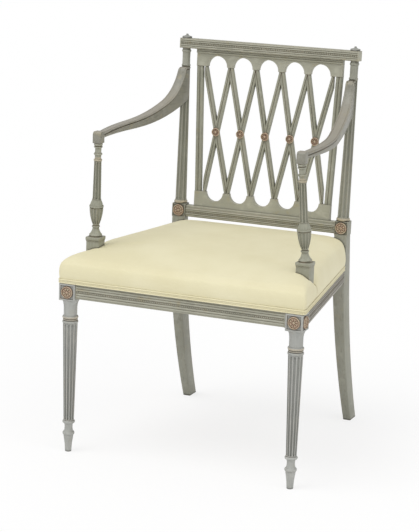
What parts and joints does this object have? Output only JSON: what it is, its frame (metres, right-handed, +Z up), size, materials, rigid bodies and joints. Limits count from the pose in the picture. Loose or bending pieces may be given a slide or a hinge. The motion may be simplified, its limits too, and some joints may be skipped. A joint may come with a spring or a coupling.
{
  "type": "upholstered open armchair",
  "caption": "Painted wooden armchair with a lattice back between arcaded boards, curved open arms on turned supports, fluted legs and a stuffed seat.",
  "frame": {"origin": "on the floor, under the middle of the chair's bounding box", "axes": "the chair faces -Y, +X is the viewer's right, +Z is up"},
  "size_m": [0.559, 0.5747, 0.8752],
  "materials": {
    "painted_wood": "worn grey-green paint, rubbed to brown on edges",
    "rosette_paint": "worn paint rubbed with ochre",
    "bare_wood": "unfinished beech",
    "seat_cover": "plain cream upholstery cloth",
    "hem_band": "folded band of the cover cloth",
    "webbing": "jute webbing",
    "canvas": "hessian canvas"
  },
  "bodies": {
    "root": {"arm_dowel_left": "bare_wood", "arm_dowel_right": "bare_wood", "arm_left": "painted_wood", "arm_right": "painted_wood", "arm_support_left": "painted_wood", "arm_support_right": "painted_wood", "block_rosettes": "rosette_paint", "corner_block_front_left": "bare_wood", "corner_block_front_right": "bare_wood", "corner_block_rear_left": "bare_wood", "corner_block_rear_right": "bare_wood", "crest_rail": "painted_wood", "front_leg_left": "painted_wood", "front_leg_right": "painted_wood", "front_seat_rail": "painted_wood", "lattice_bar_1_falling": "painted_wood", "lattice_bar_1_rising": "painted_wood", "lattice_bar_2_falling": "painted_wood", "lattice_bar_2_rising": "painted_wood", "lattice_bar_3_falling": "painted_wood", "lattice_bar_3_rising": "painted_wood", "lattice_bar_4_falling": "painted_wood", "lattice_bar_4_rising": "painted_wood", "lattice_bar_5_falling": "painted_wood", "lattice_bar_5_rising": "painted_wood", "lattice_rosettes": "rosette_paint", "lower_back_rail": "painted_wood", "post_cap_left": "painted_wood", "post_cap_right": "painted_wood", "rear_leg_left": "painted_wood", "rear_leg_right": "painted_wood", "rear_seat_rail": "painted_wood", "seat_canvas": "canvas", "seat_cross_webbing": "webbing", "seat_cushion": "seat_cover", "seat_hem": "hem_band", "seat_webbing": "webbing", "side_seat_rail_left": "painted_wood", "side_seat_rail_right": "painted_wood", "splat_low_arcade": "painted_wood", "splat_stile_left": "painted_wood", "splat_stile_right": "painted_wood", "splat_top_arcade": "painted_wood"}
  },
  "joints": []
}
